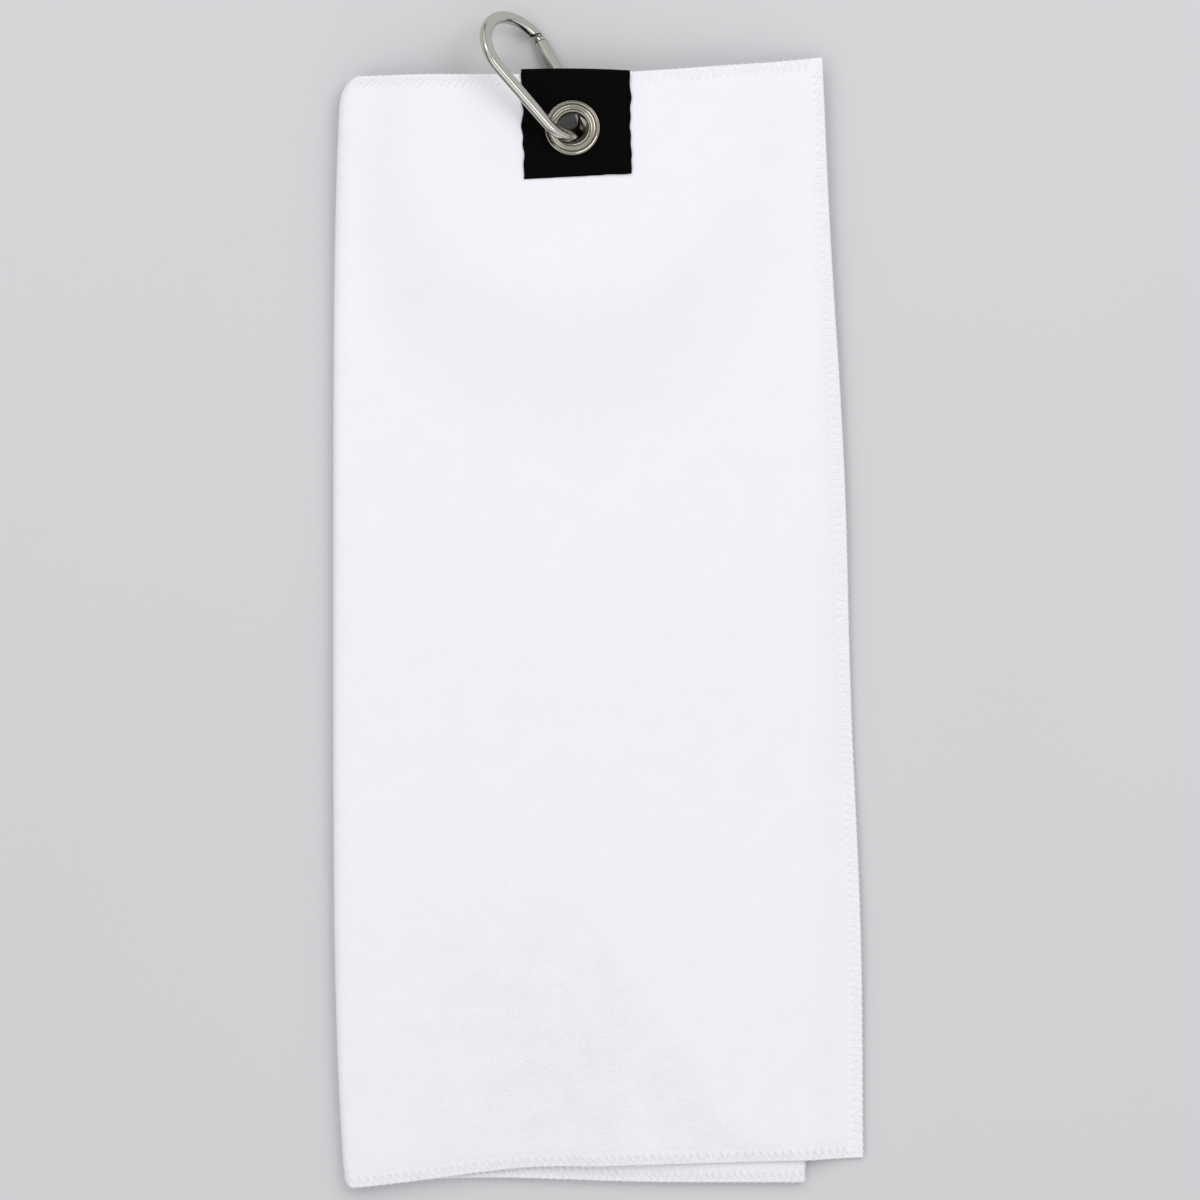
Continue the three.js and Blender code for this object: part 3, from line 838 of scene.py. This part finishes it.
def spun(name, outline, steps=SPIN_STEPS):
    """outline holds (distance from the axis, height), in order round the ring's section."""
    bm = bmesh.new()
    ring = [bm.verts.new((radius, 0, height)) for radius, height in outline]
    edges = [bm.edges.new((a, b)) for a, b in zip(ring, ring[1:] + ring[:1])]
    bmesh.ops.spin(bm, geom=ring + edges, cent=(0, 0, 0), axis=(0, 0, 1), dvec=(0, 0, 0),
                   angle=2 * math.pi, steps=steps, use_merge=True, use_duplicate=False)
    bmesh.ops.remove_doubles(bm, verts=bm.verts, dist=1e-5)
    return mesh_from(name, bm, Matrix.Translation(eyelet_place) @ Matrix.Scale(MM, 4))


seat = patch_outside + 0.1
eyelet_outline = (
    arc((FLANGE - 0.42, seat + 0.42), 0.42, -90, 100)
    + [(10.35, seat + 0.62), (10.0, seat + 0.5), (9.5, seat + 0.46), (9.05, seat + 0.56), (8.7, seat + 0.8)]
    + arc((7.5, seat + 0.2), 1.2, 40, 180, 10)
    + [(BORE, -seat - 1.0)]
    + arc((BORE + 0.85, -seat - 0.95), 0.75, 195, 330, 8)
    + [(BARREL + 0.7, -seat - 0.9), (BARREL, -seat - 0.85), (BARREL, seat)]
)
washer_outline = (
    [(BARREL + 0.25, -seat)]
    + [(BARREL + 0.25, -seat - 0.62), (BARREL + 1.6, -seat - 0.66)]
    + [(FLANGE - 1.2, -seat - 0.6)]
    + arc((FLANGE - 0.4, -seat - 0.3), 0.3, -80, 90)
)


# %% [markdown]
# Nickel plate is a warm light grey mirror. Handling leaves it slightly uneven, so the roughness
# varies a little and a very fine bump bends the reflections.

# %% Metal materials
def metal_material(name, colour, roughness, spread, grain):
    material, tree, shader = new_material(name, {"Metallic": 1.0})
    place = node(tree, "TexCoord").outputs["Object"]
    smudge = node(tree, "TexNoise", {"Vector": place, "Scale": 240.0, "Detail": 4.0}).outputs["Fac"]
    scratch = node(tree, "TexNoise", {
        "Vector": stretched(tree, place, (900, 5200, 5200)), "Scale": 1.0, "Detail": 2.0}).outputs["Fac"]
    warm = tuple(0.86 * c for c in colour[:2]) + (0.8 * colour[2], 1)
    mixed = node(tree, "Mix", {"Factor": smudge, "A": warm, "B": colour + (1,)}, data_type="RGBA")
    tree.links.new(mixed.outputs[2], shader.inputs["Base Color"])
    rough = between(tree, smudge, roughness - spread, roughness + spread)
    tree.links.new(rough, shader.inputs["Roughness"])
    tree.links.new(bump(tree, scratch, grain, 0.00003), shader.inputs["Normal"])
    return material


nickel = metal_material("bright nickel plate", (0.38, 0.355, 0.3), 0.09, 0.03, 0.12)
satin_nickel = metal_material("satin nickel clip", (0.62, 0.605, 0.57), 0.12, 0.03, 0.2)
spring_steel = metal_material("spring steel", (0.5, 0.5, 0.49), 0.3, 0.05, 0.2)
add_piece("rolled_eyelet", spun("rolled_eyelet", eyelet_outline), nickel, "towel", "eyelet_nickel", "eyelet")
add_piece("back_washer", spun("back_washer", washer_outline), nickel, "towel", "eyelet_nickel", "eyelet_washer")

# %% [markdown]
# ## The clip
#
# The clip is one flat bar with rounded edges, bent into a pear shape round two centres: a narrow bow
# that sits in the eyelet and a wide bow that hooks on the bag. It is drawn in its own plane, with +Y
# from the eyelet to the wide bow. The frame's own gate axis and mount say how that plane is turned.
#
# Bending a bar is what spin does. The bar's section starts at the nose, spins round the wide bow, is
# drawn straight down the spine, spins round the narrow bow and ends under the gate's hinge.

# %% The clip's plane
BAR_WIDTH, BAR_DEPTH, BAR_ROUND = 4.8, 3.3, 1.0
NARROW_Y, NARROW_RADIUS = 8.3, 10.9
WIDE_Y, WIDE_RADIUS = 38.5, 16.3
LOOP_X = -0.8  # the loop hangs a little to one side in the eyelet
GATE_LENGTH = 28.2
HINGE_OFFSET = 4
HINGE_GAP = 0.4  # between the gate's round end and the frame
HINGE_PIN, HINGE_HOLE = 0.85, 1.1
loop_normal = Vector(joints["gate_opening"]["axis"]).normalized()
seat_mount = next(m for m in frame["record"]["mounts"] if m["name"] == "bag_ring_seat")
clip_along = Vector(seat_mount["axis"]).normalized()
clip_side = clip_along.cross(loop_normal).normalized()
clip_turn = Matrix((clip_side, clip_along, loop_normal)).transposed().to_4x4()
clip_plane = (Matrix.Translation(eyelet_place) @ clip_turn @ Matrix.Scale(MM, 4)
              @ Matrix.Translation((LOOP_X, 0, 0)))
taper = math.asin((WIDE_RADIUS - NARROW_RADIUS) / (WIDE_Y - NARROW_Y))
spine_length = (WIDE_Y - NARROW_Y) * math.cos(taper)
hinge = Vector((
    NARROW_RADIUS * math.cos(taper) + HINGE_OFFSET * math.sin(taper),
    NARROW_Y - NARROW_RADIUS * math.sin(taper) + HINGE_OFFSET * math.cos(taper),
    0,
))
gate_plane = clip_plane @ Matrix.Translation(hinge) @ Matrix.Rotation(-taper, 4, "Z")
gate_gap = (gate_plane.translation - Vector(joints["gate_opening"]["pos_m"])).length
print(f"hinge drawn {gate_gap * 1e6:.1f} micrometres from the frame's joint")


# %% Bend the bar
def newest_face(made):
    return next(item for item in made if isinstance(item, bmesh.types.BMFace))


def bend(bm, face, centre_y, angle, steps):
    made = bmesh.ops.spin(
        bm, geom=[face, *face.edges, *face.verts], cent=(0, centre_y, 0), axis=(0, 0, 1), dvec=(0, 0, 0),
        angle=angle, steps=steps, use_merge=False, use_duplicate=False)
    return newest_face(made["geom_last"])


def draw_on(bm, face, way):
    made = bmesh.ops.extrude_face_region(bm, geom=[face])
    bmesh.ops.translate(bm, vec=way, verts=[v for v in made["geom"] if isinstance(v, bmesh.types.BMVert)])
    if face.is_valid and any(len(edge.link_faces) > 2 for edge in face.edges):
        bmesh.ops.delete(bm, geom=[face], context="FACES_ONLY")
    return newest_face(made["geom"])


def along_direction(angle, length):
    return Vector((-math.sin(angle), math.cos(angle), 0)) * length


def build_clip_bar():
    bm = bmesh.new()
    radial = Matrix.Rotation(-taper, 4, "Z")
    stand = Matrix.Translation((0, WIDE_Y, 0)) @ radial @ Matrix.Translation((WIDE_RADIUS, 0, 0))
    section = stand @ Matrix.Rotation(math.pi / 2, 4, "X") @ Matrix.Diagonal((BAR_WIDTH, BAR_DEPTH, 1, 1))
    made = bmesh.ops.create_grid(bm, x_segments=1, y_segments=1, size=0.5, matrix=section)
    bmesh.ops.bevel(bm, geom=made["verts"], offset=BAR_ROUND, offset_type="OFFSET", affect="VERTICES",
                    segments=5, profile=0.5, material=-1)
    face = bm.faces[:][0]
    face = bend(bm, face, WIDE_Y, math.pi + 2 * taper, 56)
    face = draw_on(bm, face, along_direction(math.pi + taper, spine_length))
    face = bend(bm, face, NARROW_Y, math.pi - 2 * taper, 44)
    draw_on(bm, face, along_direction(-taper, HINGE_OFFSET - BAR_WIDTH / 2 - HINGE_GAP))
    bmesh.ops.recalc_face_normals(bm, faces=bm.faces)
    open_edges = sum(not edge.is_manifold for edge in bm.edges)
    print("clip bar:", len(bm.faces), "faces,", open_edges, "open edges")
    return bm


# %% [markdown]
# The nose and the hinge are milled: a slot takes the gate's tongue, a notch holds the latch pin, and
# the hinge end is cut down to a tongue between the gate's cheeks. A cutter is a box or a rod, and a
# Boolean modifier takes it away or joins it on.

# %% Cutters and joins
def block(x0, x1, y0, y1, z0, z1):
    bm = bmesh.new()
    bmesh.ops.create_cube(bm, size=1, matrix=Matrix.Translation(((x0 + x1) / 2, (y0 + y1) / 2, (z0 + z1) / 2))
                          @ Matrix.Diagonal((x1 - x0, y1 - y0, z1 - z0, 1)))
    return bm


def rod(radius, x, y, z0, z1, sides=40):
    bm = bmesh.new()
    bmesh.ops.create_cone(bm, cap_ends=True, segments=sides, radius1=radius, radius2=radius, depth=z1 - z0,
                          matrix=Matrix.Translation((x, y, (z0 + z1) / 2)))
    return bm


def worked(name, bm, steps, matrix=Matrix.Identity(4)):
    """Applies the steps, each an operation and a tool's bmesh, one after the other."""
    mesh = mesh_from(name, bm)
    holder = bpy.data.objects.new(name, mesh)
    bpy.context.scene.collection.objects.link(holder)
    for operation, tool_bm in steps:
        bmesh.ops.transform(tool_bm, matrix=matrix, verts=tool_bm.verts)
        tool = bpy.data.objects.new("tool", mesh_from("tool", tool_bm))
        bpy.context.scene.collection.objects.link(tool)
        change = holder.modifiers.new("work", "BOOLEAN")
        change.operation = operation
        change.solver = "EXACT"
        change.object = tool
        bpy.context.view_layer.update()
        made = bpy.data.meshes.new_from_object(holder.evaluated_get(bpy.context.evaluated_depsgraph_get()))
        holder.modifiers.clear()
        holder.data = made
        bpy.data.objects.remove(tool)
    bm = bmesh.new()
    bm.from_mesh(holder.data)
    bpy.data.objects.remove(holder)
    bmesh.ops.remove_doubles(bm, verts=bm.verts, dist=1e-4)
    return bm


TONGUE, SLOT = 1.4, 2.0
THROUGH = 4  # more than half the bar's depth, for cuts that go right through
LATCH_X, LATCH_Y, LATCH_RADIUS = -0.5, GATE_LENGTH + 2.6, 0.6
NOTCH = 0.9  # half the width of the nose's notch
nose = GATE_LENGTH + 0.4
on_gate_line = Matrix.Translation(hinge) @ Matrix.Rotation(-taper, 4, "Z")
clip_frame = worked("clip_bar", build_clip_bar(), [
    ("DIFFERENCE", block(-5, 5, GATE_LENGTH - 8, nose, -THROUGH, THROUGH)),
    ("UNION", block(-1.5, 1.5, -3.4, 0, -TONGUE / 2, TONGUE / 2)),
    ("UNION", rod(1.5, 0, 0, -TONGUE / 2, TONGUE / 2)),
    ("DIFFERENCE", rod(HINGE_HOLE, 0, 0, -THROUGH, THROUGH)),
    ("DIFFERENCE", block(-5, 1, nose - 1, LATCH_Y + 1.6, -SLOT / 2, SLOT / 2)),
    ("DIFFERENCE", block(-5, LATCH_X, LATCH_Y - NOTCH, LATCH_Y + NOTCH, -THROUGH, THROUGH)),
    ("DIFFERENCE", rod(NOTCH, LATCH_X, LATCH_Y, -THROUGH, THROUGH)),
], on_gate_line)
add_piece("clip_bar", mesh_from("clip_bar", clip_frame, clip_plane), satin_nickel,
          "clip", "clip_metal", "clip_frame")


# %% [markdown]
# ## The gate
#
# The gate is a second piece of the same bar with a round hinge end. It starts as a flat outline whose
# two lower corners are bevelled round, is drawn up to the bar's depth, and has its rims bevelled to
# the bar's rounding. A tongue is joined on at its far end, and a slot and pin holes are milled as before.

# %% Build the gate
def build_gate():
    half = BAR_WIDTH / 2
    bm = bmesh.new()
    outline = Matrix.Translation((0, (GATE_LENGTH - half) / 2, -BAR_DEPTH / 2))
    bmesh.ops.create_grid(bm, x_segments=1, y_segments=1, size=0.5,
                          matrix=outline @ Matrix.Diagonal((BAR_WIDTH, GATE_LENGTH + half, 1, 1)))
    low = [v for v in bm.verts if v.co.y < 0]
    bmesh.ops.bevel(bm, geom=low, offset=half * 0.995, offset_type="OFFSET", affect="VERTICES", segments=10,
                    profile=0.5, material=-1)
    draw_on(bm, bm.faces[:][0], Vector((0, 0, BAR_DEPTH)))
    rims = [e for e in bm.edges if abs(e.verts[0].co.z) > BAR_DEPTH / 2 - 0.01
            and e.verts[0].co.z * e.verts[1].co.z > 0
            and min(v.co.y for v in e.verts) < GATE_LENGTH - 0.01]
    bmesh.ops.bevel(bm, geom=rims, offset=BAR_ROUND, offset_type="OFFSET", affect="EDGES", segments=5,
                    profile=0.5, material=-1, clamp_overlap=True)
    return bm


gate_bm = worked("gate_bar", build_gate(), [
    ("UNION", block(-1.4, 0.7, GATE_LENGTH - 1, LATCH_Y + 1.2, -TONGUE / 2, TONGUE / 2)),
    ("DIFFERENCE", block(-5, 5, -5, 3.4, -SLOT / 2, SLOT / 2)),
    ("DIFFERENCE", rod(HINGE_HOLE, 0, 0, -THROUGH, THROUGH)),
    ("DIFFERENCE", rod(LATCH_RADIUS + 0.15, LATCH_X, LATCH_Y, -THROUGH, THROUGH)),
])
add_piece("gate_bar", mesh_from("gate_bar", gate_bm, gate_plane), satin_nickel, "gate", "clip_metal", "gate")


# %% Pins, spring and plunger
def pin(radius, x, y, half_length):
    bm = rod(radius, x, y, -half_length, half_length, 32)
    rims = [e for e in bm.edges if abs(abs(e.verts[0].co.z) + abs(e.verts[1].co.z) - 2 * half_length) < 1e-4
            and e.verts[0].co.z * e.verts[1].co.z > 0]
    bmesh.ops.bevel(bm, geom=rims, offset=radius * 0.4, offset_type="OFFSET", affect="EDGES", segments=3,
                    profile=0.5, material=-1)
    return bm


add_piece("hinge_rivet", mesh_from("hinge_rivet", pin(HINGE_PIN, 0, 0, 1.72), gate_plane), satin_nickel,
          "clip", "clip_metal", "gate_hinge_pin")
add_piece("latch_pin", mesh_from("latch_pin", pin(LATCH_RADIUS, LATCH_X, LATCH_Y, 1.6), gate_plane),
          satin_nickel, "gate", "clip_metal", "gate_latch_pin")
for name in ("gate_spring", "gate_plunger"):
    inner = frame["nodes"][name]
    inner.data.materials.clear()
    inner.data.materials.append(spring_steel)

# %% [markdown]

# %% [markdown]
# ## Floor, light and camera
#
# A plain pale floor lets the white towel stand out by its soft shadow. Small shiny goods are often
# laid under a white tent, so the sky is a bright dome. It turns grey near the ground, which draws the
# dark lines along the clip and the eyelet, and it has a darker opening at the top for the camera. One
# large soft light from the upper right shows the weave and the creases, a weaker one opposite opens
# the shadows, and a long narrow one brightens the clip's bar.

# %% Stage
def stage_floor():
    bm = bmesh.new()
    bmesh.ops.create_grid(bm, x_segments=1, y_segments=1, size=3)
    bmesh.ops.translate(bm, vec=(0, 0, -0.0002), verts=bm.verts)
    mesh = mesh_from("floor", bm)
    material, tree, shader = new_material("pale floor", {"Roughness": 0.8, "Specular IOR Level": 0.2})
    place = node(tree, "TexCoord").outputs["Object"]
    cloud = node(tree, "TexNoise", {"Vector": place, "Scale": 3.0, "Detail": 2.0}).outputs["Fac"]
    mixed = node(tree, "Mix", {
        "Factor": cloud, "A": (0.62, 0.625, 0.635, 1), "B": (0.65, 0.655, 0.665, 1)}, data_type="RGBA")
    tree.links.new(mixed.outputs[2], shader.inputs["Base Color"])
    mesh.materials.append(material)
    floor = bpy.data.objects.new("floor", mesh)
    bpy.context.scene.collection.objects.link(floor)


def area_light(name, place, target, width, height, power, colour=(1, 1, 1)):
    light = bpy.data.lights.new(name, "AREA")
    light.shape = "RECTANGLE"
    light.size, light.size_y = width, height
    light.energy = power
    light.color = colour
    lamp = bpy.data.objects.new(name, light)
    lamp.location = place
    lamp.rotation_euler = (Vector(target) - Vector(place)).to_track_quat("-Z", "Y").to_euler()
    bpy.context.scene.collection.objects.link(lamp)


def sky():
    """A white studio tent: a bright dome over a grey rim, with the camera's opening at its top."""
    world = bpy.data.worlds.new("studio")
    world.use_nodes = True
    tree = world.node_tree
    way = node(tree, "TexCoord").outputs["Generated"]
    height = node(tree, "SeparateXYZ", {"Vector": way}).outputs["Z"]
    ramp = node(tree, "ValToRGB", {"Fac": height})
    stops = ramp.color_ramp.elements
    levels = [(0, 0.36), (0.05, 0.18), (0.13, 0.2), (0.2, 0.9), (0.89, 1), (0.93, 0.3), (1, 0.24)]
    while len(stops) < len(levels):
        stops.new(0.5)
    for stop, (place, level) in zip(stops, levels):
        stop.position, stop.color = place, (level, level, 1.01 * level, 1)
    background = tree.nodes["Background"]
    tree.links.new(ramp.outputs["Color"], background.inputs["Color"])
    background.inputs["Strength"].default_value = 0.92
    bpy.context.scene.world = world


stage_floor()
area_light("key", (0.95, 0.75, 1.5), (0, 0, 0), 1.1, 1.1, 8)
area_light("fill", (-1.3, -0.6, 1.5), (0, 0, 0), 1.4, 1.4, 3.5)
area_light("strip", (-0.5, 0.9, 0.9), (-0.03, 0.2, 0), 0.9, 0.12, 1.6)
sky()
bpy.context.scene.view_settings.view_transform = "Standard"

# %% Camera
CAMERA_HEIGHT = 1.45
VIEW_WIDTH = 0.4944  # what the picture takes in at the towel
TOWEL_LEVEL = 0.005
camera_data = bpy.data.cameras.new("camera")
camera_data.lens = camera_data.sensor_width * (CAMERA_HEIGHT - TOWEL_LEVEL) / VIEW_WIDTH
camera_data.clip_start, camera_data.clip_end = 0.01, 20
camera = bpy.data.objects.new("camera", camera_data)
camera.location = (drawing_origin.x, drawing_origin.y, CAMERA_HEIGHT)
bpy.context.scene.collection.objects.link(camera)
bpy.context.scene.camera = camera
